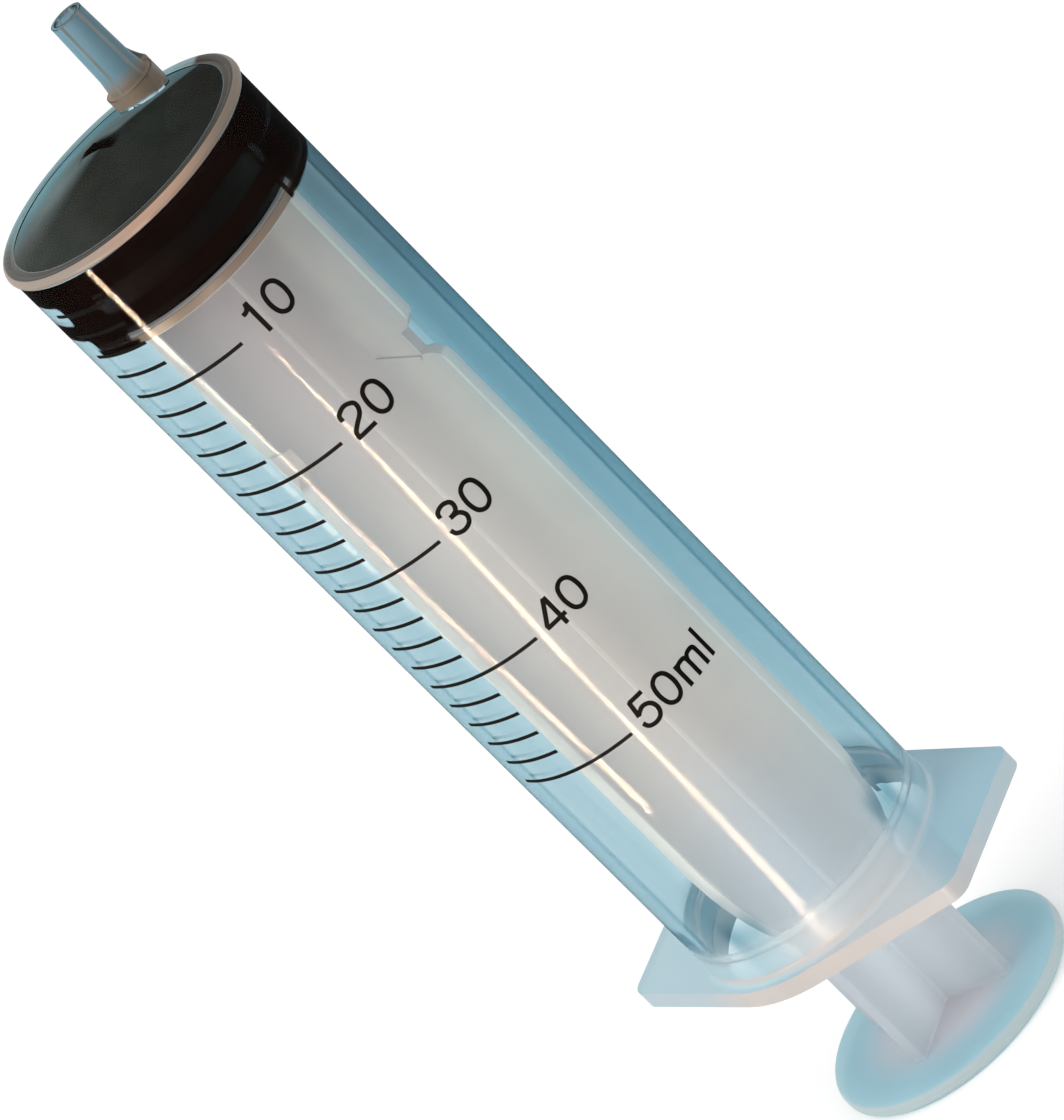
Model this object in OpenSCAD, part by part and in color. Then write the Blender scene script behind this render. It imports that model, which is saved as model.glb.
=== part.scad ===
// Three-part disposable syringe with an off-centre slip nozzle, in millimetres.
// It stands on its thumb plate: the origin is the middle of the plate's rear face.
// +Z runs to the nozzle, +X is the flange's long axis, and the nozzle is off-centre towards +Y.
// The plunger is fully pressed.

/* [Capacity] */
// volume at the last graduation, in millilitres
graduated_ml = 50; // [30:10:60]
// volume between two short graduations, in millilitres
short_step_ml = 2; // [1, 2, 5]
// volume between two long graduations, in millilitres
long_step_ml = 10; // [10, 20]

/* [Barrel] */
// diameter of the bore, which sets the spacing of the graduations
bore_d = 29; // [27:0.5:31]
// thickness of the barrel's wall
wall = 1.2; // [1:0.05:1.6]
// thickness of the conical end wall, measured along the axis
end_wall = 1.85; // [1.4:0.05:2.4]
// rise of the end wall from its foot to its middle
nose_rise = 3.9; // [3:0.1:5]
// radius of the bead round the barrel's front edge
rim_bead_r = 0.7; // [0.5:0.05:0.9]
// radial reach of the front bead beyond the barrel
rim_reach = 0.3; // [0.1:0.05:0.4]
// height of the front bead above the end wall's foot
rim_rise = 0.35; // [0.2:0.05:0.6]
// length of barrel left between the last graduation and the flange
rear_reserve = 33.7; // [24:0.1:40]
// distance from the flange's front face to the retaining bead's middle
bead_set_back = 3.7; // [3:0.1:8]
// height of the retaining bead above the bore's wall
bead_rise = 0.35; // [0.32:0.01:0.4]
// width of the retaining bead along the axis
bead_w = 1.2; // [0.8:0.1:2]
// depth of the lead-in chamfer at the bore's rear mouth
mouth_chamfer = 0.5; // [0.2:0.05:0.8]

/* [Flange] */
// length of the finger flange over both wings
flange_span = 47.6; // [44:0.2:54]
// width of the flange across the barrel
flange_w = 33.8; // [33.4:0.2:38]
// width of each wing at its straight end
wing_end_w = 21; // [16:0.2:26]
// thickness of the flange
flange_t = 2.2; // [1.6:0.1:3]
// radius of the wings' corners
wing_corner_r = 2.2; // [1:0.1:3]
// fillet between the barrel and the flange
flange_fillet_r = 0.8; // [0.4:0.1:1]

/* [Nozzle] */
// diameter of the nozzle at its tip
nozzle_tip_d = 3.95; // [3.9:0.01:4]
// gain in diameter over each unit of the nozzle's length
nozzle_taper_share = 0.06; // [0.05:0.005:0.07]
// length of the nozzle's tapered part
nozzle_len = 7.6; // [7.5:0.1:9]
// diameter of the channel through the nozzle
channel_d = 2.9; // [2:0.1:3]
// distance from the barrel's axis to the nozzle's axis
nozzle_offset = 9.6; // [7:0.1:10.5]
// length of the flared root between the tapered part and the pedestal
root_len = 2; // [1:0.1:3]
// diameter of the flared root at the pedestal
root_d = 5; // [4.8:0.1:5.4]
// diameter of the pedestal that carries the nozzle
pedestal_d = 6; // [5.6:0.1:7]
// height of the pedestal above the end wall's foot
pedestal_h = 3.8; // [3.4:0.1:5]
// thickness of the rib that props the nozzle from the pedestal
prop_t = 0.9; // [0.6:0.1:1.4]
// reach of the rib beyond the nozzle's axis at the pedestal
prop_reach = 3.9; // [3.6:0.1:4.4]
// height of the rib's hollow sweep above the pedestal
prop_h = 5.4; // [3:0.1:5.8]

/* [Stopper] */
// length of the stopper's side
stopper_side = 8.4; // [8:0.1:12]
// width of each sealing rib along the axis
seal_w = 2; // [1.4:0.1:2.5]
// distance from the stopper's front edge to the front of its second rib
second_seal_at = 4.9; // [4:0.1:6]
// depth of the waist between the sealing ribs
waist_depth = 0.9; // [0.4:0.1:1.4]
// radial running clearance of the stopper in the bore, and of the rod's head in its socket
running_clearance = 0.05; // [0.02:0.01:0.08]
// gap between faces of different pieces that rest close to each other
face_gap = 0.1; // [0.05:0.01:0.2]

/* [Plunger rod] */
// gap between the rod's widest fins and the retaining bead, and between the support disc and the bore
slide_gap = 0.3; // [0.25:0.05:0.5]
// thickness of the support disc behind the stopper
disc_t = 1; // [0.8:0.1:1.6]
// thickness of each of the four fins
fin_t = 1.4; // [1:0.1:2]
// radius of the round core where the fins meet
core_r = 1.3; // [1.2:0.1:2.5]
// half width of the fins where they leave the flange
tail_half_w = 9.6; // [8:0.1:11]
// distance from the flange's rear face to the thumb plate's front face
thumb_reach = 19; // [12:0.1:25]
// length over which the fins narrow towards the thumb plate
narrowing_len = 17; // [12:0.5:30]
// distance from the flange's rear face to the end of that narrowing
narrow_ahead = 0.7; // [0.3:0.1:6]
// angle at which the rod stands turned against the flange, as photographed
rod_turn_deg = 4.5; // [-20:0.5:20]
// distance from the support disc to the snap-off notch's flat bottom
notch_at = 19.2; // [12:0.1:25]
// length of the snap-off notch's flat bottom
notch_len = 3.3; // [2:0.1:5]
// depth of the snap-off notch
notch_depth = 1.9; // [1:0.1:3]
// length of the fine ridge that runs on from the notch across the fin
snap_len = 4.9; // [3:0.1:7]
// width of that ridge
snap_w = 0.5; // [0.3:0.05:0.8]
// rise of that ridge above the fin's face
snap_rise = 0.2; // [0.1:0.05:0.4]
// slant of that ridge towards the stopper
snap_slant_deg = 25; // [0:1:35]
// diameter of the thumb plate
thumb_d = 30.8; // [26:0.2:34]
// thickness of the thumb plate
thumb_t = 1.8; // [1.4:0.1:3]
// rounding of the thumb plate's edges
thumb_edge_r = 0.6; // [0.3:0.05:0.65]
// radius of the rod's neck inside the stopper
neck_r = 4; // [3:0.1:5]
// length of the rod's neck inside the stopper
neck_len = 2.6; // [2:0.1:4]
// radius of the rod's head inside the stopper
head_r = 6; // [5.5:0.1:7.5]
// length of the straight part of the rod's head
head_len = 2; // [1.5:0.1:3]
// rise of the head's conical end
head_rise = 1.5; // [1:0.1:2]

/* [Print] */
// thickness of the printed lines
ink_t = 0.05; // [0.04:0.01:0.1]
// width of a printed line along the axis
ink_w = 0.42; // [0.3:0.02:0.6]
// angle about the axis at which every line starts, counted from +X
ink_start_deg = -115; // [-140:1:-100]
// angle at which the short lines end
short_end_deg = -84.4; // [-95:0.2:-80]
// angle at which the long lines end
long_end_deg = -56.2; // [-70:0.2:-50]

/* [Hidden] */
$fn = 96;
// overrun of every cut past the face that it leaves by
overrun = 1;
// sink of a raised part into the part that carries it
sink = 0.2;
// millimetres in a centimetre, whose cube is a millilitre
cm = 10;
mm3_per_ml = cm * cm * cm;

bore_r = bore_d / 2;
barrel_r = bore_r + wall;
bead_r = bore_r - bead_rise;
bore_area = PI * bore_r * bore_r;
mm_per_ml = mm3_per_ml / bore_area;

flange_rear_z = thumb_t + thumb_reach;
flange_front_z = flange_rear_z + flange_t;
bead_z = flange_front_z + bead_set_back;
zero_z = flange_front_z + rear_reserve + graduated_ml * mm_per_ml;
foot_z = zero_z + end_wall;
rim_z = foot_z + rim_rise;

seal_r = bore_r - running_clearance;
stopper_front_z = zero_z - face_gap;
stopper_rear_z = stopper_front_z - stopper_side;
socket_neck_r = neck_r + running_clearance;
socket_head_r = head_r + running_clearance;

disc_r = bore_r - slide_gap;
disc_front_z = stopper_rear_z - face_gap;
disc_rear_z = disc_front_z - disc_t;
fin_r = bead_r - slide_gap;
notch_x = fin_r - notch_depth;
notch_front_z = disc_rear_z - notch_at;
notch_rear_z = notch_front_z - notch_len;
neck_top_z = disc_front_z + neck_len;
head_top_z = neck_top_z + head_len;

pedestal_z = foot_z + pedestal_h;
cone_foot_z = pedestal_z + root_len;
tip_z = cone_foot_z + nozzle_len;
nozzle_tip_r = nozzle_tip_d / 2;
nozzle_foot_r = nozzle_tip_r + nozzle_taper_share * nozzle_len / 2;

barrel_color = [0.72, 0.83, 0.88, 0.45];
stopper_color = [0.06, 0.055, 0.05];
rod_color = [0.78, 0.84, 0.87, 0.8];
ink_color = [0.03, 0.03, 0.03];

// Plan of the finger flange: a round collar whose tangents run to the four rounded corners of the wings.
module flange_plan() {
    collar_r = flange_w / 2;
    corner_x = flange_span / 2 - wing_corner_r;
    corner_y = wing_end_w / 2 - wing_corner_r;
    reach = sqrt(corner_x * corner_x + corner_y * corner_y);
    side_deg = atan2(corner_y, corner_x) + acos((collar_r - wing_corner_r) / reach);
    tangent = [cos(side_deg), sin(side_deg)];
    collar_point = collar_r * tangent;
    corner_point = [corner_x, corner_y] + wing_corner_r * tangent;
    circle(r = collar_r);
    for (sx = [-1, 1], sy = [-1, 1]) {
        translate([sx * corner_x, sy * corner_y])
            circle(r = wing_corner_r);
        polygon([
            [0, 0],
            [sx * collar_point.x, sy * collar_point.y],
            [sx * corner_point.x, sy * corner_point.y],
            [sx * corner_x, sy * corner_y],
            [sx * corner_x, 0]
        ]);
        translate([sx > 0 ? corner_x : -flange_span / 2, -corner_y])
            square([wing_corner_r, 2 * corner_y]);
    }
}

// Fillet ring that eases the barrel into the flange.
module flange_fillet() {
    translate([0, 0, flange_front_z])
        rotate_extrude()
            translate([barrel_r - sink, -sink])
                difference() {
                    square(flange_fillet_r + sink);
                    translate([flange_fillet_r + sink, flange_fillet_r + sink])
                        circle(r = flange_fillet_r);
                }
}

// Half section of the barrel's solid outside, with its conical end wall and the bead round its front edge.
module barrel_section() {
    bead_x = barrel_r + rim_reach - rim_bead_r;
    polygon([
        [0, flange_rear_z],
        [barrel_r, flange_rear_z],
        [barrel_r, rim_z - rim_bead_r],
        [bead_x, foot_z],
        [0, foot_z + nose_rise]
    ]);
    translate([bead_x, rim_z - rim_bead_r])
        circle(r = rim_bead_r);
}

// Half section of the bore, whose conical end follows the end wall.
module bore_section() {
    polygon([
        [0, flange_rear_z - overrun],
        [bore_r + mouth_chamfer + overrun, flange_rear_z - overrun],
        [bore_r, flange_rear_z + mouth_chamfer],
        [bore_r, zero_z],
        [0, zero_z + nose_rise]
    ]);
}

// Retaining bead round the inside of the bore, with sloping flanks.
module bead() {
    flank = bead_w / 4;
    rotate_extrude()
        polygon([
            [bore_r + sink, bead_z - bead_w / 2],
            [bore_r, bead_z - bead_w / 2],
            [bead_r, bead_z - flank],
            [bead_r, bead_z + flank],
            [bore_r, bead_z + bead_w / 2],
            [bore_r + sink, bead_z + bead_w / 2]
        ]);
}

// Nozzle with its flared root, standing on its pedestal.
module nozzle() {
    translate([0, nozzle_offset, 0]) {
        translate([0, 0, zero_z])
            cylinder(r = pedestal_d / 2, h = pedestal_z - zero_z);
        translate([0, 0, pedestal_z])
            cylinder(r1 = root_d / 2, r2 = nozzle_foot_r, h = root_len);
        translate([0, 0, cone_foot_z])
            cylinder(r1 = nozzle_foot_r, r2 = nozzle_tip_r, h = nozzle_len);
    }
}

// Rib that props the nozzle on the side of the barrel's edge, sweeping up in a hollow curve.
module nozzle_prop() {
    start_x = nozzle_foot_r - sink;
    top_z = pedestal_z + prop_h;
    run = prop_reach - start_x;
    sweep_r = (run * run + prop_h * prop_h) / (2 * run);
    translate([-prop_t / 2, nozzle_offset, 0])
        rotate([90, 0, 90])
            linear_extrude(height = prop_t)
                difference() {
                    translate([0, zero_z])
                        square([prop_reach, top_z - zero_z]);
                    translate([start_x + sweep_r, top_z])
                        circle(r = sweep_r);
                }
}

module barrel() {
    color(barrel_color) {
        difference() {
            union() {
                translate([0, 0, flange_rear_z])
                    linear_extrude(height = flange_t)
                        flange_plan();
                flange_fillet();
                rotate_extrude()
                    barrel_section();
                nozzle();
                nozzle_prop();
            }
            rotate_extrude()
                bore_section();
            translate([0, nozzle_offset, zero_z - overrun])
                cylinder(r = channel_d / 2, h = tip_z - zero_z + 2 * overrun);
        }
        bead();
    }
}

// Half section of the stopper: two sealing ribs, a waist, a slimmer tail and a conical face.
module stopper_section() {
    waist_r = seal_r - waist_depth;
    ease = waist_depth / 2;
    second_seal_z = stopper_front_z - second_seal_at;
    polygon([
        [0, stopper_rear_z],
        [waist_r - ease, stopper_rear_z],
        [waist_r, stopper_rear_z + ease],
        [waist_r, second_seal_z - seal_w - ease],
        [seal_r, second_seal_z - seal_w],
        [seal_r, second_seal_z],
        [waist_r, second_seal_z + ease],
        [waist_r, stopper_front_z - seal_w - ease],
        [seal_r, stopper_front_z - seal_w],
        [seal_r, stopper_front_z],
        [0, stopper_front_z + nose_rise]
    ]);
}

// Half section of the socket that holds the rod's head in the stopper.
module socket_section() {
    shoulder_z = neck_top_z - face_gap;
    crown_z = head_top_z + face_gap;
    polygon([
        [0, stopper_rear_z - overrun],
        [socket_neck_r, stopper_rear_z - overrun],
        [socket_neck_r, shoulder_z],
        [socket_head_r, shoulder_z],
        [socket_head_r, crown_z],
        [0, crown_z + head_rise]
    ]);
}

module stopper() {
    color(stopper_color)
        difference() {
            rotate_extrude()
                stopper_section();
            rotate_extrude()
                socket_section();
        }
}

// Side view of one pair of fins, with x across the rod and y along it.
module fin_outline() {
    tail_z = flange_rear_z + narrow_ahead;
    drop = fin_r - tail_half_w;
    curve_r = (narrowing_len * narrowing_len + drop * drop) / (2 * drop);
    difference() {
        translate([-fin_r, thumb_t - sink])
            square([2 * fin_r, disc_rear_z - thumb_t + 2 * sink]);
        for (side = [0, 1])
            mirror([side, 0]) {
                translate([tail_half_w, 0])
                    square([drop + overrun, tail_z]);
                difference() {
                    translate([tail_half_w, tail_z - sink])
                        square([drop + overrun, narrowing_len + sink]);
                    translate([fin_r - curve_r, tail_z + narrowing_len])
                        circle(r = curve_r);
                }
                notch();
            }
    }
}

// Snap-off notch in one edge of a fin: a flat bottom between two shoulders rounded by the notch's depth.
module notch() {
    difference() {
        translate([notch_x, notch_rear_z - notch_depth])
            square([notch_depth + overrun, notch_len + 2 * notch_depth]);
        for (z = [notch_rear_z - notch_depth, notch_front_z + notch_depth])
            translate([notch_x, z])
                circle(r = notch_depth);
    }
}

// Fine slanting ridge that runs on from the notch's rear corner across the fin's face.
module snap_ridge() {
    translate([notch_x - sink, 0, notch_rear_z])
        rotate([0, snap_slant_deg, 0])
            translate([-snap_len, -fin_t / 2 - snap_rise, -snap_w])
                cube([snap_len, snap_rise + sink, snap_w]);
}

module fins() {
    for (turn = [rod_turn_deg, rod_turn_deg + 90])
        rotate([0, 0, turn])
            translate([0, fin_t / 2, 0])
                rotate([90, 0, 0])
                    linear_extrude(height = fin_t)
                        fin_outline();
    rotate([0, 0, rod_turn_deg])
        snap_ridge();
}

// Half section of the thumb plate with rounded edges.
module thumb_section() {
    inner = thumb_d / 2 - thumb_edge_r;
    square([inner, thumb_t]);
    translate([0, thumb_edge_r])
        square([thumb_d / 2, thumb_t - 2 * thumb_edge_r]);
    for (z = [thumb_edge_r, thumb_t - thumb_edge_r])
        translate([inner, z])
            circle(r = thumb_edge_r);
}

module plunger_rod() {
    color(rod_color) {
        rotate_extrude()
            thumb_section();
        fins();
        translate([0, 0, thumb_t - sink])
            cylinder(r = core_r, h = disc_rear_z - thumb_t + 2 * sink);
        translate([0, 0, disc_rear_z])
            cylinder(r = disc_r, h = disc_t);
        translate([0, 0, disc_front_z - sink])
            cylinder(r = neck_r, h = neck_len + 2 * sink);
        translate([0, 0, neck_top_z])
            cylinder(r = head_r, h = head_len);
        translate([0, 0, head_top_z])
            cylinder(r1 = head_r, r2 = 0, h = head_rise);
    }
}

// One printed line: part of a thin ring on the barrel, from the common start to the given end angle.
module ink_line(volume_ml, end_deg) {
    translate([0, 0, zero_z - volume_ml * mm_per_ml - ink_w / 2])
        rotate([0, 0, ink_start_deg])
            rotate_extrude(angle = end_deg - ink_start_deg)
                translate([barrel_r, 0])
                    square([ink_t, ink_w]);
}

module graduation() {
    color(ink_color)
        for (volume_ml = [short_step_ml : short_step_ml : graduated_ml])
            ink_line(volume_ml, volume_ml % long_step_ml == 0 ? long_end_deg : short_end_deg);
}

barrel();
stopper();
plunger_rod();
graduation();
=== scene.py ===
"""Looks of the syringe: materials, printed numbers, lamps and camera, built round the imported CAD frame.

Units are metres. The frame is the CAD model's: it stands on its thumb plate at the origin, with +Z
towards the nozzle. No CAD shape is replaced: the materials go on the CAD solids themselves.
"""
import math

import bmesh
import bpy
from mathutils import Matrix, Vector


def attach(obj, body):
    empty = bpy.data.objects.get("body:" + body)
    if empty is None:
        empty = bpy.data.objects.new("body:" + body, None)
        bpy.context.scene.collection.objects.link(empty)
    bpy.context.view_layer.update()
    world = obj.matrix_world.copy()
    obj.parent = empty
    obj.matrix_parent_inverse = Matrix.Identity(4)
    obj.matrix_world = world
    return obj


MM = 0.001

# Camera, fitted to the photograph
CAMERA_AT = Vector((0.539785, -0.503562, 0.381353))
CAMERA_AIM = Vector((0.001188, 0.001267, 0.071939))
CAMERA_ROLL_DEG = -44.8155
CAMERA_LENS_MM = 246.67
SENSOR_MM = 36.0
CLIP_END = 50.0

# Sizes of the CAD model that the materials and the print follow
BARREL_R = 15.7 * MM
ZERO_Z = 132.4 * MM
PITCH_10 = 15.139 * MM
TICK_END_DEG = -56.2
STOPPER_FRONT_Z = 132.3 * MM
NOZZLE_OFFSET = 9.6 * MM
NOZZLE_BORE_R = 1.45 * MM
NOZZLE_TIP_Z = 147.65 * MM
CONE_APEX_Z = 138.15 * MM
CONE_SLOPE = 0.26

# In plan, the viewer's right with the nozzle up. That side of the barrel is tinted deeper blue: painted
# shade.
SIDE_DIRECTION = (0.682, 0.731)
NOZZLE_SIDE = NOZZLE_OFFSET * SIDE_DIRECTION[1]

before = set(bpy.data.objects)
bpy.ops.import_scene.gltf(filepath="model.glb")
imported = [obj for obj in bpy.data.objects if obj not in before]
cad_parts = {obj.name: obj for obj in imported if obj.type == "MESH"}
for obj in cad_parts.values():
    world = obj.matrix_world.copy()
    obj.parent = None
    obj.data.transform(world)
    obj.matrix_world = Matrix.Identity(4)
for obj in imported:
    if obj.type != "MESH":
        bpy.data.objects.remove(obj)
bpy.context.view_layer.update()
scene = bpy.context.scene


# Node helpers
class Graph:
    """A material's or world's node tree, called g below, with short calls for the nodes used here."""

    def __init__(self, tree):
        self.tree = tree
        tree.nodes.clear()

    def node(self, kind, values=None, **attributes):
        made = self.tree.nodes.new(kind)
        for name, value in attributes.items():
            setattr(made, name, value)
        for socket, value in (values or {}).items():
            self.put(made.inputs[socket], value)
        return made

    def output(self, kind, values=None, **attributes):
        """The first output of a new node."""
        return self.node(kind, values, **attributes).outputs[0]

    def put(self, socket, value):
        if isinstance(value, bpy.types.NodeSocket):
            self.tree.links.new(value, socket)
        elif isinstance(value, tuple) and len(value) == 3 and socket.type == "RGBA":
            socket.default_value = (*value, 1.0)
        else:
            socket.default_value = value

    def math(self, operation, a, b=0.0):
        return self.output("ShaderNodeMath", {0: a, 1: b}, operation=operation)

    def chain(self, operation, values):
        """One operation from value to value, from left to right."""
        result, *others = values
        for value in others:
            result = self.math(operation, result, value)
        return result

    def times(self, *values):
        return self.chain("MULTIPLY", values)

    def plus(self, *values):
        return self.chain("ADD", values)

    def most(self, *values):
        return self.chain("MAXIMUM", values)

    def minus(self, a, b):
        return self.math("SUBTRACT", a, b)

    def ramp(self, value, span, to=(0.0, 1.0), smooth=True):
        """value over a span, mapped to the two values of to, and held outside the span."""
        made = self.node(
            "ShaderNodeMapRange",
            {"Value": value, "From Min": span[0], "From Max": span[1], "To Min": to[0], "To Max": to[1]},
            interpolation_type="SMOOTHSTEP" if smooth else "LINEAR",
        )
        return made.outputs["Result"]

    def even(self, value, span, to=(0.0, 1.0)):
        """A ramp that goes straight from end to end."""
        return self.ramp(value, span, to, smooth=False)

    def between(self, share, ends):
        """The value at a share of the way between two ends."""
        return self.even(share, (0.0, 1.0), ends)

    def band(self, value, span, soft):
        """1 inside the span, fading to 0 over soft on either side."""
        low, high = span
        return self.times(self.ramp(value, (low - soft, low)), self.ramp(value, (high + soft, high)))

    def mix(self, share, a, b, kind="MIX"):
        made = self.node("ShaderNodeMix", data_type="RGBA", blend_type=kind, clamp_factor=True)
        for index, value in ((0, share), (6, a), (7, b)):
            self.put(made.inputs[index], value)
        return made.outputs[2]  # 6, 7 and 2 are the node's sockets for colours

    def dimmed(self, color, share):
        grey = self.output("ShaderNodeCombineColor", {0: share, 1: share, 2: share})
        return self.mix(1.0, color, grey, "MULTIPLY")

    def mix_shader(self, share, a, b):
        return self.output("ShaderNodeMixShader", {0: share, 1: a, 2: b})

    def noise(self, vector, scale, detail=3.0):
        values = {"Vector": vector, "Scale": scale, "Detail": detail, "Roughness": 0.5}
        return self.node("ShaderNodeTexNoise", values).outputs["Fac"]

    def bump(self, height, strength, distance):
        values = {"Strength": strength, "Distance": distance, "Height": height}
        return self.node("ShaderNodeBump", values).outputs["Normal"]

    def surface(self, shader):
        out = self.node("ShaderNodeOutputMaterial")
        self.tree.links.new(shader, out.inputs["Surface"])


class ObjectPlace:
    """Sockets for a point's place in the CAD frame.

    They are the vector, its x, y and z, the radius from the axis, and how far the point lies from the
    axis to the viewer's right (side) and towards the viewer (front), with the nozzle up.
    """

    def __init__(self, g):
        self.vector = g.node("ShaderNodeTexCoord").outputs["Object"]
        split = g.node("ShaderNodeSeparateXYZ", {0: self.vector})
        self.x, self.y, self.z = split.outputs
        self.radius = self.distance(g, 0.0)
        along_x, along_y = SIDE_DIRECTION
        self.side = g.plus(g.times(self.x, along_x), g.times(self.y, along_y))
        self.front = g.minus(g.times(self.x, along_y), g.times(self.y, along_x))

    def distance(self, g, y0):
        dy = g.minus(self.y, y0)
        return g.math("SQRT", g.plus(g.times(self.x, self.x), g.times(dy, dy)))


def new_material(name):
    material = bpy.data.materials.new(name)
    material.use_nodes = True
    return material, Graph(material.node_tree)


def light_rays(g):
    """1 for rays that carry lamp light or soft light through clear plastic."""
    path = g.node("ShaderNodeLightPath")
    return g.most(path.outputs["Is Shadow Ray"], path.outputs["Is Diffuse Ray"])


WHITE = (1, 1, 1)
NOISE_SPAN = (0.3, 0.7)
PLASTIC_IOR = 1.49

# Tint of the clear plastic

# A wall lets exp(-TINT_DENSITY * power) of red, green and blue through. The power is a path, longer
# where the wall is seen at a slant, times a density that changes from place to place.
TINT_DENSITY = (0.40, 0.235, 0.187)
PATH_SQUARE_ON = 0.3
PATH_POWER = 3.0
FLATTEST_COSINE = 0.6  # the tint doesn't deepen further where a wall is seen more along its length
MEAN_Z = 65 * MM
MEAN_DENSITY = 0.87
# Painted shade: the tint deepens towards the viewer's right, the more so towards the nozzle
SIDE_SHADE_GAIN = 0.25
REAR_FADE = 4.2  # change of the density along the barrel, per metre
SIDE_SHADE_REAR_FADE = 5.4  # the same for the difference between its sides
NOZZLE_GAIN = 0.3
STREAK_SCALE = 420.0
STREAK_STRETCH = (1, 1, 0.12)
STREAK_GAIN = (0.94, 1.06)

# The tint is denser in the front of the barrel's root, behind which there is no second wall
ROOT_GAIN = 2.2
ROOT_FRONT = (2.0 * MM, 6.0 * MM)
ROOT_Z = (33.0 * MM, 29.0 * MM)
ROOT_INNER = (0.48 * BARREL_R, 0.56 * BARREL_R)
ROOT_OUTER = (0.78 * BARREL_R, 0.70 * BARREL_R)

# It is denser too where the barrel's outline is seen through its wall alone
RIM_GAIN = 1.6
RIM_FACING = (0.58, 0.62)
OUTSIDE_R = (15.0 * MM, 15.3 * MM)

# Painted shade: on the darker side the front of the barrel takes these shares more of each colour
FRONT_SHADE_GAIN = (0.0, 0.24, 0.36)
FRONT_SHADE_Z = (90.0 * MM, 125.0 * MM)
FRONT_SHADE_SIDE = (0.4 * BARREL_R, 0.8 * BARREL_R)


def wall_tints(g, place, facing, nozzle):
    """Colours for light that enters the plastic and for light that leaves it.

    The second is squared, because the shader it goes to lets the square root of its colour through.
    """
    cosine = g.most(g.minus(1.0, facing), FLATTEST_COSINE)
    path = g.math("DIVIDE", PATH_SQUARE_ON, g.math("POWER", cosine, PATH_POWER))
    height = g.minus(place.z, MEAN_Z)
    # Painted shade towards the viewer's right
    sides = g.plus(g.times(height, SIDE_SHADE_REAR_FADE), SIDE_SHADE_GAIN)
    side_shade = g.times(g.math("DIVIDE", place.side, BARREL_R), sides)
    density = g.plus(g.times(height, REAR_FADE), MEAN_DENSITY, side_shade, g.times(nozzle, NOZZLE_GAIN))

    stretched = g.output("ShaderNodeVectorMath", {0: place.vector, 1: STREAK_STRETCH}, operation="MULTIPLY")
    streak = g.noise(stretched, STREAK_SCALE)
    off_middle = g.math("ABSOLUTE", place.side)
    root = g.times(
        g.ramp(place.front, ROOT_FRONT), g.ramp(place.z, ROOT_Z),
        g.ramp(off_middle, ROOT_INNER), g.ramp(off_middle, ROOT_OUTER),
    )
    root_gain = g.plus(g.times(root, ROOT_GAIN), 1.0)
    power = g.times(path, density, g.even(streak, NOISE_SPAN, STREAK_GAIN), root_gain)
    outline = g.times(g.ramp(facing, RIM_FACING), g.ramp(place.radius, OUTSIDE_R))
    power_in = g.times(power, g.plus(g.times(outline, RIM_GAIN), 1.0))

    # Painted shade on the darker side of the barrel's front
    front_shade = g.times(g.ramp(place.z, FRONT_SHADE_Z), g.ramp(place.side, FRONT_SHADE_SIDE))
    entering = g.node("ShaderNodeCombineColor")
    leaving = g.node("ShaderNodeCombineColor")
    for channel, (share, gain) in enumerate(zip(TINT_DENSITY, FRONT_SHADE_GAIN)):
        extra = g.plus(g.times(front_shade, gain), 1.0)
        g.put(entering.inputs[channel], g.math("POWER", math.exp(-share), g.times(power_in, extra)))
        g.put(leaving.inputs[channel], g.math("POWER", math.exp(-2 * share), g.times(power, extra)))
    return entering.outputs[0], leaving.outputs[0]


PLASTIC_ROUGHNESS = 0.03
INNER_SPECULAR = (0.04, 0.04, 0.04)
GLOSS_SCALE = 900.0
GLOSS_ROUGHNESS = (0.04, 0.065)
WAVE_SCALE = 70.0
WAVE_STRENGTH = 0.008
WAVE_DEPTH = 0.4 * MM
BASE_SHINE = 0.0018
GRAZING_SHINE = 0.02
GRAZING_POWER = 5.0
INNER_SHINE_SHARE = 0.25
FRONT_Z = (132.0 * MM, 134.0 * MM)


def bending_plastic(g, place, facing, backfacing, nozzle):
    """The clear plastic itself: it bends light, and shows the lamps in a thin gloss on its outside."""
    tint_in, tint_out = wall_tints(g, place, facing, nozzle)
    gloss = g.output(
        "ShaderNodeBsdfGlossy",
        {
            "Color": WHITE,
            "Roughness": g.even(g.noise(place.vector, GLOSS_SCALE), NOISE_SPAN, GLOSS_ROUGHNESS),
            "Normal": g.bump(g.noise(place.vector, WAVE_SCALE, detail=1.0), WAVE_STRENGTH, WAVE_DEPTH),
        },
        distribution="BECKMANN",
    )
    outside = g.most(g.ramp(place.radius, OUTSIDE_R), g.ramp(place.z, FRONT_Z))
    grazing = g.times(g.math("POWER", facing, GRAZING_POWER), GRAZING_SHINE)
    shine = g.times(g.plus(grazing, BASE_SHINE), g.between(outside, (INNER_SHINE_SHARE, 1.0)))
    entering = g.output(
        "ShaderNodeBsdfRefraction", {"Color": tint_in, "Roughness": PLASTIC_ROUGHNESS, "IOR": PLASTIC_IOR}
    )
    leaving = g.output(
        "ShaderNodeBsdfPrincipled",
        {
            "Base Color": tint_out,
            "Transmission Weight": 1.0,
            "Roughness": PLASTIC_ROUGHNESS,
            "IOR": PLASTIC_IOR,
            "Specular Tint": INNER_SPECULAR,
        },
    )
    return g.mix_shader(backfacing, g.mix_shader(shine, entering, gloss), leaving)


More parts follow.
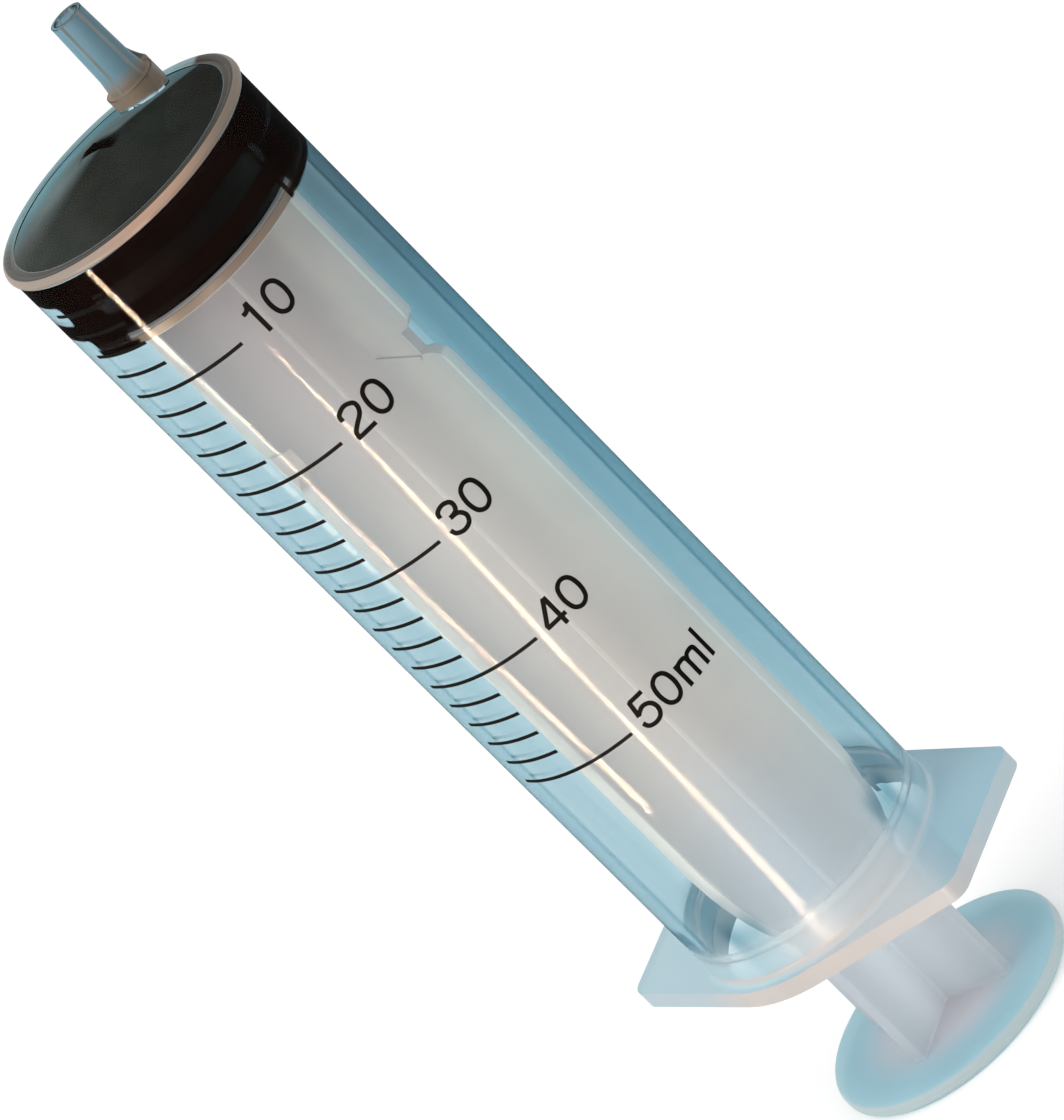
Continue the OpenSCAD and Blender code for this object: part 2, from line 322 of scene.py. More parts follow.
# The stopper's front as the end wall shows it, all painted reflection: grey, lighter on the left, lighter
# along a line from its apex, blue at the back
FACE_REFLECTION_GREY = (0.036, 0.031, 0.025)
FACE_REFLECTION_LEFT = (0.062, 0.061, 0.052)
RIDGE_HIGHLIGHT_MIDDLE = (0.180, 0.190, 0.176)
RIDGE_HIGHLIGHT_LEFT = (0.112, 0.110, 0.099)
BACK_REFLECTION = (0.185, 0.300, 0.325)
FACE_LEFT_SIDE = (-2.0 * MM, -15.0 * MM)
RIDGE_LEFT_SIDE = (5.0 * MM, 14.0 * MM)
RIDGE_BACK_AWAY = (3.0 * MM, 11.0 * MM)
RIDGE_SLANT = 0.5
RIDGE_SPREAD = 0.5
RIDGE_WIDTH = 1.0 * MM
RIDGE_SPAN = (-0.3, 0.9)


# Painted reflections on the stopper's cone as the end wall shows it
def face_color_and_reflections(g, place):
    away = g.times(place.front, -1.0)
    right_of_apex = g.most(place.side, 0.0)
    left_of_apex = g.most(g.times(place.side, -1.0), 0.0)
    past_ridge = g.minus(away, g.times(right_of_apex, RIDGE_SLANT))
    spread = g.plus(g.times(left_of_apex, RIDGE_SPREAD), RIDGE_WIDTH)
    ridge_highlight_share = g.ramp(g.math("DIVIDE", past_ridge, spread), RIDGE_SPAN)
    ridge_highlight = g.mix(g.ramp(left_of_apex, RIDGE_LEFT_SIDE), RIDGE_HIGHLIGHT_MIDDLE, RIDGE_HIGHLIGHT_LEFT)
    face_and_reflections = g.mix(g.ramp(place.side, FACE_LEFT_SIDE), FACE_REFLECTION_GREY, FACE_REFLECTION_LEFT)
    face_and_reflections = g.mix(ridge_highlight_share, face_and_reflections, ridge_highlight)
    return g.mix(g.times(ridge_highlight_share, g.ramp(away, RIDGE_BACK_AWAY)), face_and_reflections, BACK_REFLECTION)


# The barrel's milky places, some of them painted highlights and shade: where they are, their colours, and how
# much of the clearness they take
FLANGE_R = (14.2 * MM, 14.4 * MM)
FLANGE_Z = (24.4 * MM, 23.2 * MM)
FLANGE_FAR = (0.36, 0.50, 0.56)
FLANGE_NEAR = (0.54, 0.58, 0.60)
FLANGE_HAZE = 0.78
NEAR_Y = (2.0 * MM, -16.0 * MM)
NEAR_X = (-17.0 * MM, -7.0 * MM)

EDGE_UPRIGHT = (0.9, 0.3)
EDGE_FAR = (0.44, 0.52, 0.56)
EDGE_NEAR = (0.56, 0.50, 0.47)
EDGE_NEAR_X = (-14.0 * MM, -3.0 * MM)
EDGE_HAZE = 0.88

ROOT_MILK_Z = (30.0 * MM, 25.0 * MM)
# Painted shade: the root's right is a deeper blue than its left
ROOT_LEFT = (0.42, 0.57, 0.63)
ROOT_MIDDLE = (0.52, 0.55, 0.57)
ROOT_RIGHT = (0.29, 0.45, 0.53)
ROOT_LEFT_SIDE = (-12.0 * MM, -4.0 * MM)
ROOT_RIGHT_SIDE = (4.0 * MM, 13.0 * MM)
ROOT_HAZE = 0.8

FRONT_RIM_R = (14.2 * MM, 14.35 * MM)
FRONT_RIM_Z = (133.75 * MM, 133.9 * MM)

# Painted highlight along the barrel's rounded front rim: tan, fading darker to the right
RING_R = (15.52 * MM, 15.62 * MM)
RING_Z = (133.35 * MM, 133.6 * MM)
RING_FRONT = (-6.0 * MM, -1.0 * MM)
RIM_HIGHLIGHT_LEFT = (0.30, 0.25, 0.21)
RIM_HIGHLIGHT_MIDDLE = (0.40, 0.26, 0.19)
RIM_HIGHLIGHT_RIGHT = (0.17, 0.14, 0.11)
RING_LEFT_SIDE = (-12.0 * MM, -1.0 * MM)
RING_RIGHT_SIDE = (0.0, 12.0 * MM)
RING_HAZE = 0.85

# Painted highlight on the bead inside the rear of the bore
BEAD_R = (14.45 * MM, 14.3 * MM)
BEAD_Z = (26.3 * MM, 27.1 * MM)
BEAD_SOFT = 0.4 * MM
BEAD_HIGHLIGHT = (0.75, 0.80, 0.80)
BEAD_HAZE = 0.35

NOZZLE_R = (4.3 * MM, 4.0 * MM)
ABOVE_CONE = (0.1 * MM, 0.4 * MM)
PEDESTAL_Z = (140.4 * MM, 138.2 * MM)
NOZZLE_BLUE = (0.175, 0.32, 0.39)
PEDESTAL_BROWN = (0.27, 0.20, 0.14)
NOZZLE_HAZE = (0.75, 0.8)
# Painted shade on the rib, on the nozzle's right and round its mouth
RIB_R = (2.3 * MM, 2.7 * MM)
RIB_Z = (138.1 * MM, 138.4 * MM)
RIB_SHADE = (0.06, 0.06, 0.055)
SHADED_SIDE = (NOZZLE_SIDE - 1.5 * MM, NOZZLE_SIDE + 1.5 * MM)
SHADED_DARK = (0.03, 0.03, 0.03)
SHADED_SHARE = 0.5
MOUTH_R = (NOZZLE_BORE_R, NOZZLE_BORE_R + 0.15 * MM)
MOUTH_SOFT = 0.1 * MM
MOUTH_Z = (NOZZLE_TIP_Z - 0.5 * MM, NOZZLE_TIP_Z)
MOUTH_SHADE = (0.02, 0.02, 0.02)

MILK_ROUGHNESS = 0.4
MILK_SPECULAR = 0.1


def nozzle_mask(g, place, from_nozzle):
    """1 on the nozzle and its pedestal, which stand above the cone of the end wall."""
    cone_here = g.plus(g.minus(place.z, CONE_APEX_Z), g.times(place.radius, CONE_SLOPE))
    return g.times(g.ramp(from_nozzle, NOZZLE_R), g.ramp(cone_here, ABOVE_CONE))


def nozzle_color(g, place, from_nozzle, foot):
    """Blue with a brown pedestal, and painted shade on its right, on the rib and round its mouth."""
    rib = g.times(g.ramp(from_nozzle, RIB_R), g.ramp(place.z, RIB_Z))
    mouth = g.times(g.band(from_nozzle, MOUTH_R, MOUTH_SOFT), g.ramp(place.z, MOUTH_Z))
    color = g.mix(rib, g.mix(foot, NOZZLE_BLUE, PEDESTAL_BROWN), RIB_SHADE)
    color = g.mix(g.ramp(place.side, SHADED_SIDE), color, g.mix(SHADED_SHARE, color, SHADED_DARK))
    return g.mix(mouth, color, MOUTH_SHADE)


def milky_places(g, place, geometry, nozzle, from_nozzle, face_and_reflections):
    """The milky body's colour all over the barrel, painted highlights and shade included, and the share of it
    that shows.
    """
    to_object = {"vector_type": "NORMAL", "convert_from": "WORLD", "convert_to": "OBJECT"}
    normal = g.output("ShaderNodeVectorTransform", {0: geometry.outputs["Normal"]}, **to_object)
    upright = g.math("ABSOLUTE", g.node("ShaderNodeSeparateXYZ", {0: normal}).outputs[2])
    frontal = g.minus(1.0, geometry.outputs["Backfacing"])

    flange = g.times(g.ramp(place.radius, FLANGE_R), g.ramp(place.z, FLANGE_Z))
    near = g.times(g.ramp(place.y, NEAR_Y), g.ramp(place.x, NEAR_X))
    edge = g.times(flange, g.ramp(upright, EDGE_UPRIGHT))
    near_edge = g.times(g.ramp(place.y, NEAR_Y), g.ramp(place.x, EDGE_NEAR_X))
    root = g.times(g.ramp(place.z, ROOT_MILK_Z), g.ramp(place.radius, OUTSIDE_R))
    front_rim = g.times(g.ramp(place.radius, FRONT_RIM_R), g.ramp(place.z, FRONT_RIM_Z), frontal)
    rim_highlight = g.times(g.ramp(place.radius, RING_R), g.ramp(place.z, RING_Z), g.ramp(place.front, RING_FRONT))
    bead_highlight = g.times(g.ramp(place.radius, BEAD_R), g.band(place.z, BEAD_Z, BEAD_SOFT))
    foot = g.times(nozzle, g.ramp(place.z, PEDESTAL_Z))

    root_color = g.mix(g.ramp(place.side, ROOT_LEFT_SIDE), ROOT_LEFT, ROOT_MIDDLE)
    root_color = g.mix(g.ramp(place.side, ROOT_RIGHT_SIDE), root_color, ROOT_RIGHT)
    rim_highlight_color = g.mix(g.ramp(place.side, RING_LEFT_SIDE), RIM_HIGHLIGHT_LEFT, RIM_HIGHLIGHT_MIDDLE)
    rim_highlight_color = g.mix(g.ramp(place.side, RING_RIGHT_SIDE), rim_highlight_color, RIM_HIGHLIGHT_RIGHT)
    color = g.mix(near, FLANGE_FAR, FLANGE_NEAR)
    for share, painted in (
        (root, root_color),
        (edge, g.mix(near_edge, EDGE_FAR, EDGE_NEAR)),
        (front_rim, face_and_reflections),
        (rim_highlight, rim_highlight_color),
        (nozzle, nozzle_color(g, place, from_nozzle, foot)),
        (bead_highlight, BEAD_HIGHLIGHT),
    ):
        color = g.mix(share, color, painted)

    haze = g.most(
        g.times(flange, FLANGE_HAZE), g.times(edge, EDGE_HAZE), front_rim, g.times(rim_highlight, RING_HAZE),
        g.times(bead_highlight, BEAD_HAZE), g.times(nozzle, g.between(foot, NOZZLE_HAZE)),
        g.times(root, ROOT_HAZE),
    )
    return color, haze


# Where rubber presses on the bore or the end wall, the plastic is wetted: it shows the rubber, with the
# painted reflections of the stopper's front, not light coming through
WET_REACH = 0.27 * MM
WET_REACH_GRAZED = 1.4 * MM  # seen at a slant, rubber across the waist's gap shows as well
WET_SPAN = (0.8, 0.5)
GRAZED_COSINE = (0.86, 0.83)
GRAZED_RIGHT = (0.62 * BARREL_R, 0.78 * BARREL_R)
GRAZED_Z = (122.6 * MM, 123.8 * MM)
TOTAL_REFLECTION_COSINE = (0.735, 0.75)
INSIDE_R = (15.0 * MM, 14.7 * MM)
ON_BORE_R = (14.38 * MM, 14.46 * MM)
FLAT_COSINE = (0.60, 0.68)
WET_MOTTLE_SCALE = 150.0
WET_MOTTLE = (0.8, 1.2)
WET_ROUGHNESS = 0.5
SIDE_BLACK = (0.0070, 0.0028, 0.0020)


def wetting(g, place, facing, face_and_reflections):
    """The shader of plastic wetted by rubber, and the share of it that shows."""
    cosine = g.minus(1.0, facing)
    past_total = g.most(g.ramp(place.side, GRAZED_RIGHT), g.ramp(cosine, TOTAL_REFLECTION_COSINE))
    grazed = g.times(g.ramp(cosine, GRAZED_COSINE), past_total, g.ramp(place.z, GRAZED_Z))
    reach = g.between(grazed, (WET_REACH, WET_REACH_GRAZED))
    gap = g.node("ShaderNodeAmbientOcclusion", {"Distance": reach}, samples=4, inside=True).outputs["AO"]
    wetted = g.times(g.even(gap, WET_SPAN), g.ramp(place.radius, INSIDE_R))

    past_face = g.most(g.ramp(place.radius, ON_BORE_R), g.minus(1.0, g.ramp(cosine, FLAT_COSINE)))
    mottle = g.even(g.noise(place.vector, WET_MOTTLE_SCALE), NOISE_SPAN, WET_MOTTLE)
    color = g.dimmed(g.mix(past_face, face_and_reflections, SIDE_BLACK), mottle)
    values = {"Base Color": color, "Roughness": WET_ROUGHNESS, "Specular IOR Level": 0.0}
    return g.output("ShaderNodeBsdfPrincipled", values), wetted


LIT_COLOR = (0.985, 0.988, 0.99)


def clear_plastic():
    """Clear, faintly blue polypropylene: milky at the flange, wetted dark where rubber presses on it, with
    painted shade and highlights in places.
    """
    material, g = new_material("clear_polypropylene")
    place = ObjectPlace(g)
    # At this blend, facing is 1 minus the cosine of the angle between the view and the surface's normal
    facing = g.node("ShaderNodeLayerWeight", {"Blend": 0.5}).outputs["Facing"]
    geometry = g.node("ShaderNodeNewGeometry")
    from_nozzle = place.distance(g, NOZZLE_OFFSET)
    nozzle = nozzle_mask(g, place, from_nozzle)
    face_and_reflections = face_color_and_reflections(g, place)

    plastic = bending_plastic(g, place, facing, geometry.outputs["Backfacing"], nozzle)
    milk, haze = milky_places(g, place, geometry, nozzle, from_nozzle, face_and_reflections)
    body = g.output(
        "ShaderNodeBsdfPrincipled",
        {
            "Base Color": milk,
            "Roughness": MILK_ROUGHNESS,
            "IOR": PLASTIC_IOR,
            "Specular IOR Level": MILK_SPECULAR,
        },
    )
    pressed, wetted = wetting(g, place, facing, face_and_reflections)
    shown = g.mix_shader(wetted, g.mix_shader(haze, plastic, body), pressed)
    lit = g.output("ShaderNodeBsdfTransparent", {"Color": LIT_COLOR})
    g.surface(g.mix_shader(light_rays(g), shown, lit))
    return material


# Rubber, whose mottle goes from one colour of a pair to the other. The cone's pair is a painted reflection;
# the side's pairs are painted shaded and lit.
RUBBER_FACE_REFLECTION = ((0.030, 0.031, 0.027), (0.038, 0.039, 0.035))
RUBBER_SHADED = ((0.0025, 0.0020, 0.0016), (0.006, 0.0045, 0.0036))
RUBBER_LIT = ((0.007, 0.0024, 0.0014), (0.014, 0.0052, 0.0030))
RUBBER_LIT_SIDE = (6.0 * MM, -9.0 * MM)
RUBBER_FACE_Z = (STOPPER_FRONT_Z - 0.1 * MM, STOPPER_FRONT_Z + 0.25 * MM)
RUBBER_MOTTLE_SCALE = 260.0
RUBBER_ROUGHNESS = (0.38, 0.5)
RUBBER_GRAIN_SCALES = (1500.0, 320.0)
RUBBER_BUMP = 0.04
BUMP_DEPTH = 0.3 * MM


def rubber():
    """Black rubber; a painted reflection greys its cone, and its side is painted lit to the left, with a
    reddish trace.
    """
    material, g = new_material("black_rubber")
    place = ObjectPlace(g)
    mottle = g.noise(place.vector, RUBBER_MOTTLE_SCALE, detail=4.0)
    side = g.mix(g.ramp(place.side, RUBBER_LIT_SIDE), g.mix(mottle, *RUBBER_SHADED), g.mix(mottle, *RUBBER_LIT))
    grain = g.plus(*(g.noise(place.vector, scale, detail=2.0) for scale in RUBBER_GRAIN_SCALES))
    shader = g.output(
        "ShaderNodeBsdfPrincipled",
        {
            "Base Color": g.mix(g.ramp(place.z, RUBBER_FACE_Z), side, g.mix(mottle, *RUBBER_FACE_REFLECTION)),
            "Roughness": g.even(mottle, NOISE_SPAN, RUBBER_ROUGHNESS),
            "Specular IOR Level": 0.0,
            "Normal": g.bump(grain, RUBBER_BUMP, BUMP_DEPTH),
        },
    )
    g.surface(shader)
    return material


# Milky plastic of the rod, whose cloudiness goes from one colour of a pair to the other
ROD_WHITE = ((0.86, 0.80, 0.765), (0.89, 0.83, 0.795))
# Painted shade in the front of the barrel, where the stopper shades the rod
ROD_FRONT_SHADED = ((0.73, 0.655, 0.64), (0.76, 0.685, 0.67))
ROD_LOW = ((0.785, 0.80, 0.82), (0.815, 0.83, 0.85))
ROD_TAIL = ((0.62, 0.66, 0.69), (0.67, 0.70, 0.73))
PLATE_BLUE = ((0.47, 0.72, 0.79), (0.51, 0.76, 0.83))
PLATE_MIDDLE = ((0.82, 0.80, 0.83), (0.86, 0.84, 0.87))
# Painted light: the tail's middle, where the fins meet, is lighter
TAIL_MIDDLE_LIT = (0.81, 0.84, 0.86)
# Painted highlight along the fins' outer edges
FIN_EDGE_HIGHLIGHT = (0.90, 0.86, 0.82)
# Painted highlight on the thumb plate's rim
PLATE_RIM_HIGHLIGHT = (0.74, 0.76, 0.74)
# Painted highlight on the ring of the rod's front disc, behind the stopper
DISC_RING_HIGHLIGHT = (0.42, 0.26, 0.18)

ROD_FRONT_Z = (80.0 * MM, 122.0 * MM)
ROD_LOW_Z = (50.0 * MM, 28.0 * MM)
TAIL_Z = (22.5 * MM, 18.0 * MM)
TAIL_MIDDLE_R = (9.0 * MM, 3.0 * MM)
PLATE_Z = (2.6 * MM, 1.6 * MM)
PLATE_MIDDLE_R = (13.0 * MM, 6.0 * MM)
FIN_EDGE_R = (13.45 * MM, 13.75 * MM)
FIN_EDGE_Z = (2.0 * MM, 3.0 * MM)
PLATE_RIM_R = (15.0 * MM, 15.3 * MM)
PLATE_RIM_Z = (2.0 * MM, 1.5 * MM)
DISC_RING_R = (13.9 * MM, 14.1 * MM)
DISC_RING_Z = (122.9 * MM, 123.9 * MM)
DISC_RING_SOFT = 0.1 * MM
# Painted shade: the rod darkens towards either side of its middle
SHADE_LEFT_SIDE = (-9.5 * MM, -2.0 * MM)
SHADE_LEFT = (0.84, 1.05)
SHADE_RIGHT_SIDE = (-1.0 * MM, 6.5 * MM)
SHADE_RIGHT = (1.0, 0.80)

CLOUD_SCALE = 120.0
ROD_ROUGHNESS = (0.3, 0.42)
ROD_SPECULAR = 0.2
ROD_GRAIN_SCALE = 700.0
ROD_BUMP = 0.05
THROUGH_Z = (24.0 * MM, 18.0 * MM)
THROUGH_SHARE = (0.4, 0.55)
CLEAR_COLOR = (0.93, 0.96, 0.98)
CLEAR_SHARE = 0.10


def rod_color(g, place, cloud):
    """White with painted shade in the barrel's front and sides and painted highlights on edges; cooler to the
    tail, blue on the thumb plate.
    """
    color = g.mix(g.ramp(place.z, ROD_FRONT_Z), g.mix(cloud, *ROD_WHITE), g.mix(cloud, *ROD_FRONT_SHADED))
    color = g.mix(g.ramp(place.z, ROD_LOW_Z), color, g.mix(cloud, *ROD_LOW))
    shade = g.times(
        g.ramp(place.side, SHADE_LEFT_SIDE, SHADE_LEFT), g.ramp(place.side, SHADE_RIGHT_SIDE, SHADE_RIGHT)
    )
    tail = g.mix(g.ramp(place.radius, TAIL_MIDDLE_R), g.mix(cloud, *ROD_TAIL), TAIL_MIDDLE_LIT)
    middle = g.ramp(place.radius, PLATE_MIDDLE_R)
    plate = g.mix(middle, g.mix(cloud, *PLATE_BLUE), g.mix(cloud, *PLATE_MIDDLE))
    color = g.mix(g.ramp(place.z, TAIL_Z), g.dimmed(color, shade), tail)
    color = g.mix(g.ramp(place.z, PLATE_Z), color, plate)
    fin_edge_highlight = g.times(g.ramp(place.radius, FIN_EDGE_R), g.ramp(place.z, FIN_EDGE_Z))
    plate_rim_highlight = g.times(g.ramp(place.radius, PLATE_RIM_R), g.ramp(place.z, PLATE_RIM_Z))
    disc_ring_highlight = g.times(g.ramp(place.radius, DISC_RING_R), g.band(place.z, DISC_RING_Z, DISC_RING_SOFT))
    for share, painted in ((fin_edge_highlight, FIN_EDGE_HIGHLIGHT), (plate_rim_highlight, PLATE_RIM_HIGHLIGHT), (disc_ring_highlight, DISC_RING_HIGHLIGHT)):
        color = g.mix(share, color, painted)
    return color


def milky_plastic():
    """Milky polypropylene of the plunger rod, which lets a part of the light through."""
    material, g = new_material("milky_polypropylene")
    place = ObjectPlace(g)
    cloud = g.noise(place.vector, CLOUD_SCALE)
    color = rod_color(g, place, cloud)
    solid = g.output(
        "ShaderNodeBsdfPrincipled",
        {
            "Base Color": color,
            "Roughness": g.even(cloud, NOISE_SPAN, ROD_ROUGHNESS),
            "IOR": PLASTIC_IOR,
            "Specular IOR Level": ROD_SPECULAR,
            "Normal": g.bump(g.noise(place.vector, ROD_GRAIN_SCALE, detail=2.0), ROD_BUMP, BUMP_DEPTH),
        },
    )
    through = g.output("ShaderNodeBsdfTranslucent", {"Color": color})
    clear = g.output("ShaderNodeBsdfTransparent", {"Color": CLEAR_COLOR})
    milky = g.mix_shader(g.ramp(place.z, THROUGH_Z, THROUGH_SHARE), solid, through)
    g.surface(g.mix_shader(CLEAR_SHARE, milky, clear))
    return material


INK_BLACKS = ((0.0012, 0.0012, 0.0012), (0.004, 0.0038, 0.0036))
INK_ROUGHNESS = (0.55, 0.75)
INK_SPECULAR = 0.02
INK_GRAIN_SCALE = 2500.0
INK_BUMP = 0.05
INK_BUMP_DEPTH = 0.1 * MM


def ink():
    """Black printing ink, with a slight unevenness of gloss."""
    material, g = new_material("black_ink")
    grain = g.noise(g.node("ShaderNodeTexCoord").outputs["Object"], INK_GRAIN_SCALE)
    shader = g.output(
        "ShaderNodeBsdfPrincipled",
        {
            "Base Color": g.mix(grain, *INK_BLACKS),
            "Roughness": g.even(grain, NOISE_SPAN, INK_ROUGHNESS),
            "Specular IOR Level": INK_SPECULAR,
            "Normal": g.bump(grain, INK_BUMP, INK_BUMP_DEPTH),
        },
    )
    g.surface(shader)
    return material


def assign(node, material):
    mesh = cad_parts[node].data
    for index in range(len(mesh.materials)):
        mesh.materials[index] = material


INK = ink()
assign("barrel", clear_plastic())
assign("stopper", rubber())
assign("plunger_rod", milky_plastic())
assign("graduation", INK)


# Printed numbers
CAP_H = 4.1 * MM
STROKE_W = 0.52 * MM
INK_T = 0.04 * MM
BASELINE_DROP = 1.07 * MM
DIGIT_ADVANCE = 3.15 * MM
TEXT_START = 1.35 * MM
ADVANCE_SHARE = {"m": 0.97, "l": 0.31}
CURVE_STEPS = 7
CLOSED_WITHIN = 1e-9
LAST_TENS = 5

# Across a stroke, each corner's side of the middle line and its height on the barrel
STROKE_CORNERS = ((1, 0.0), (-1, 0.0), (-1, INK_T), (1, INK_T))

# The strokes of each character, in shares of the cap height. Three or more points make a smooth curve.
STROKE_SHARES = {
    "0": [[(0.335, 0.95), (0.13, 0.83), (0.062, 0.5), (0.13, 0.17), (0.335, 0.05),
           (0.54, 0.17), (0.608, 0.5), (0.54, 0.83), (0.335, 0.95)]],
    "1": [[(0.41, 0.0), (0.41, 1.0)], [(0.16, 0.77), (0.28, 0.79), (0.36, 0.86), (0.40, 0.98)]],
    "2": [[(0.07, 0.66), (0.10, 0.84), (0.33, 0.945), (0.55, 0.86), (0.59, 0.70), (0.50, 0.52),
           (0.28, 0.36), (0.12, 0.22), (0.075, 0.055)], [(0.03, 0.055), (0.64, 0.055)]],
    "3": [[(0.08, 0.71), (0.13, 0.87), (0.33, 0.945), (0.52, 0.87), (0.55, 0.72), (0.47, 0.58),
           (0.26, 0.54)],
          [(0.26, 0.54), (0.50, 0.50), (0.61, 0.31), (0.53, 0.12), (0.32, 0.05), (0.11, 0.13),
           (0.05, 0.29)]],
    "4": [[(0.50, 0.0), (0.50, 0.97)], [(0.475, 0.96), (0.05, 0.28)], [(0.02, 0.255), (0.66, 0.255)]],
    "5": [[(0.59, 0.945), (0.155, 0.945)], [(0.165, 0.97), (0.10, 0.47)],
          [(0.10, 0.50), (0.33, 0.63), (0.54, 0.55), (0.61, 0.33), (0.52, 0.12), (0.32, 0.05),
           (0.12, 0.11), (0.05, 0.27)]],
    "m": [[(0.10, 0.0), (0.10, 0.73)],
          [(0.10, 0.52), (0.17, 0.65), (0.31, 0.68), (0.44, 0.64), (0.47, 0.48), (0.47, 0.22), (0.47, 0.0)],
          [(0.47, 0.52), (0.55, 0.65), (0.68, 0.68), (0.81, 0.64), (0.84, 0.48), (0.84, 0.22), (0.84, 0.0)]],
    "l": [[(0.155, 0.0), (0.155, 1.0)]],
}


def straight_points(start, end):
    """Even steps between two points, so that a straight stroke bends with the barrel."""
    return [
        tuple(a + (b - a) * step / CURVE_STEPS for a, b in zip(start, end)) for step in range(CURVE_STEPS + 1)
    ]


def curve_value(t, a, b, c, d):
    """One coordinate of a Catmull-Rom curve, at the share t of the way from b to c."""
    linear = (c - a) * t
    square = (2 * a - 5 * b + 4 * c - d) * t * t
    cubic = (3 * b - a - 3 * c + d) * t ** 3
    return 0.5 * (2 * b + linear + square + cubic)


def smooth_points(points):
    """A Catmull-Rom curve through three or more points."""
    closed = points[0] == points[-1]
    before = points[-2] if closed else points[0]
    after = points[1] if closed else points[-1]
    chain = [before, *points, after]
    out = []
    for neighbours in zip(chain, chain[1:], chain[2:], chain[3:]):
        for step in range(CURVE_STEPS):
            t = step / CURVE_STEPS
            out.append(tuple(curve_value(t, *values) for values in zip(*neighbours)))
    return [*out, points[-1]]


def on_barrel(s, z, radius):
    """The point at arc length s along the barrel's surface from the long lines' end."""
    angle = math.radians(TICK_END_DEG) + s / BARREL_R
    return Vector((radius * math.cos(angle), radius * math.sin(angle), z))


def add_stroke(mesh, points):
    """One stroke as a thin closed band on the barrel."""
    half = STROKE_W / 2
    closed = (Vector(points[0]) - Vector(points[-1])).length < CLOSED_WITHIN
    before = [points[-2] if closed else points[0], *points[:-1]]
    after = [*points[1:], points[1] if closed else points[-1]]
    rows = []
    for previous, (s, z), following in zip(before, points, after):
        direction = (Vector(following) - Vector(previous)).normalized()
        across = Vector((-direction.y, direction.x)) * half
        rows.append([
            mesh.verts.new(on_barrel(s + sign * across.x, z + sign * across.y, BARREL_R + lift))
            for sign, lift in STROKE_CORNERS
        ])
    for first, second in zip(rows, rows[1:]):
        for corners in zip(first, first[1:] + first[:1], second[1:] + second[:1], second):
            mesh.faces.new(corners)
    if not closed:
        mesh.faces.new(rows[0][::-1])
        mesh.faces.new(rows[-1])


def print_text(name, text, tick_z):
    mesh = bmesh.new()
    start = TEXT_START
    for character in text:
        for points in STROKE_SHARES[character]:
            path = straight_points(*points) if len(points) == 2 else smooth_points(points)
            add_stroke(mesh, [(start + x * CAP_H, tick_z - BASELINE_DROP + y * CAP_H) for x, y in path])
        start += ADVANCE_SHARE[character] * CAP_H if character in ADVANCE_SHARE else DIGIT_ADVANCE
    bmesh.ops.recalc_face_normals(mesh, faces=mesh.faces)
    data = bpy.data.meshes.new(name)
    mesh.to_mesh(data)
    mesh.free()
    data.materials.append(INK)
    piece = bpy.data.objects.new(name, data)
    scene.collection.objects.link(piece)
    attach(piece, "barrel")


for tens in range(1, LAST_TENS + 1):
    text = f"{tens}0" + ("ml" if tens == LAST_TENS else "")
    print_text(f"number_{text}", text, ZERO_Z - tens * PITCH_10)


# Stage, lamps and camera
FLOOR_HALF = 6.0
FLOOR_DROP = 0.05 * MM
FLOOR_COLOR = (0.85, 0.85, 0.85)
FLOOR_GLOW = 0.08
WORLD_LIGHT = 0.92
WORLD_SEEN = 1.0


def white_rays(g):
    """1 for the rays that show the background: camera rays and those by gloss or glass."""
    path = g.node("ShaderNodeLightPath")
    kinds = ("Is Camera Ray", "Is Glossy Ray", "Is Transmission Ray")
    return g.most(*(path.outputs[kind] for kind in kinds))


def make_floor():
    mesh = bmesh.new()
    bmesh.ops.create_grid(mesh, x_segments=1, y_segments=1, size=FLOOR_HALF)
    data = bpy.data.meshes.new("floor")
    mesh.to_mesh(data)
    mesh.free()
    floor = bpy.data.objects.new("floor", data)
    floor.location.z = -FLOOR_DROP
    scene.collection.objects.link(floor)
    material, g = new_material("pale_floor")
    paper = g.output("ShaderNodeBsdfDiffuse", {"Color": FLOOR_COLOR})
    strength = g.times(white_rays(g), FLOOR_GLOW)
    glow = g.output("ShaderNodeEmission", {"Color": WHITE, "Strength": strength})
    g.surface(g.output("ShaderNodeAddShader", {0: paper, 1: glow}))
    data.materials.append(material)
    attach(floor, "plunger_rod")  # the syringe stands on the thumb plate at every pose


def make_world():
    world = bpy.data.worlds.new("studio")
    world.use_nodes = True
    scene.world = world
    g = Graph(world.node_tree)
    strength = g.between(white_rays(g), (WORLD_LIGHT, WORLD_SEEN))
    back = g.output("ShaderNodeBackground", {"Color": WHITE, "Strength": strength})
    out = g.node("ShaderNodeOutputWorld")
    world.node_tree.links.new(back, out.inputs["Surface"])


def area_lamp(name, at, aim, size, radiance, color, gloss_only=False):
    lamp = bpy.data.lights.new(name, "AREA")
    lamp.shape = "RECTANGLE"
    lamp.size, lamp.size_y = size
    lamp.color = color
    lamp.energy = radiance * math.pi * size[0] * size[1]
    piece = bpy.data.objects.new(name, lamp)
    piece.location = at
    piece.rotation_euler = (Vector(aim) - Vector(at)).to_track_quat("-Z", "Y").to_euler()
    piece.visible_camera = False
    if gloss_only:
        piece.visible_diffuse = False
        piece.visible_transmission = False
    scene.collection.objects.link(piece)
    return piece


STRIP_Z = 1.0 * MM
STRIP_WARM = (1.0, 0.74, 0.52)

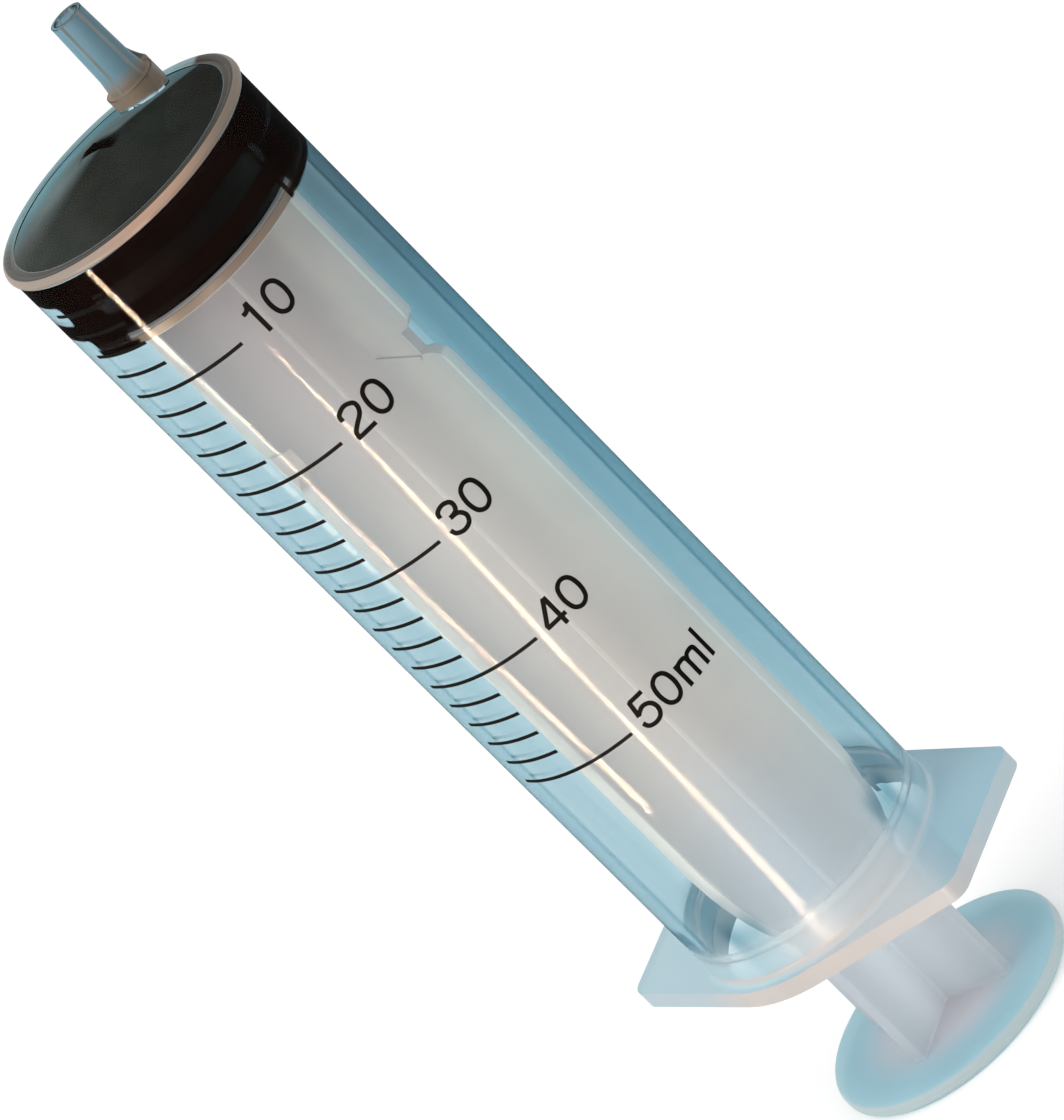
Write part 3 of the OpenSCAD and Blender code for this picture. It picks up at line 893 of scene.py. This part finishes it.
# A strip's name, near and far end on the floor, width and radiance
STRIPS = (
    ("strip_left_near", (-0.020, -0.115), (-0.106, -0.274), 14 * MM, 290.0),
    ("strip_left_middle", (-0.106, -0.274), (-0.147, -0.313), 20 * MM, 320.0),
    ("strip_left_far", (-0.147, -0.313), (-0.190, -0.383), 32 * MM, 450.0),
    ("strip_right_near", (0.021, -0.057), (0.070, -0.149), 10 * MM, 270.0),
    ("strip_right_far", (0.070, -0.149), (0.179, -0.270), 14 * MM, 360.0),
)

# A soft lamp's name, place, size, radiance and colour; both look at the syringe's middle
SOFT_AIM = (0, 0, 0.07)
SOFT_LAMPS = (
    ("key", (-0.55, -1.05, 0.95), (0.9, 0.9), 3.6, (1.0, 0.985, 0.96)),
    ("fill", (1.15, 0.25, 0.75), (0.8, 0.8), 1.2, (0.97, 0.985, 1.0)),
)


def strip_lamp(name, near, far, width, radiance):
    """A narrow lamp just above the floor that only gloss reflects, as a line along the barrel."""
    near, far = Vector((*near, STRIP_Z)), Vector((*far, STRIP_Z))
    middle = (near + far) / 2
    up = Vector((0, 0, 1))
    size = ((far - near).length, width)
    piece = area_lamp(name, middle, middle + up, size, radiance, STRIP_WARM, gloss_only=True)
    along = (far - near).normalized()
    piece.matrix_world = Matrix((along, along.cross(up), -up)).transposed().to_4x4()
    piece.matrix_world.translation = middle


def make_camera():
    data = bpy.data.cameras.new("camera")
    data.lens = CAMERA_LENS_MM
    data.sensor_width = SENSOR_MM
    data.clip_end = CLIP_END
    camera = bpy.data.objects.new("camera", data)
    aim = (CAMERA_AIM - CAMERA_AT).to_track_quat("-Z", "Y").to_matrix().to_4x4()
    roll = Matrix.Rotation(math.radians(CAMERA_ROLL_DEG), 4, "Z")
    camera.matrix_world = Matrix.Translation(CAMERA_AT) @ aim @ roll
    scene.collection.objects.link(camera)
    scene.camera = camera


make_floor()
make_world()
for strip in STRIPS:
    strip_lamp(*strip)
for name, at, size, radiance, color in SOFT_LAMPS:
    area_lamp(name, at, SOFT_AIM, size, radiance, color)
make_camera()

scene.view_settings.view_transform = "Standard"
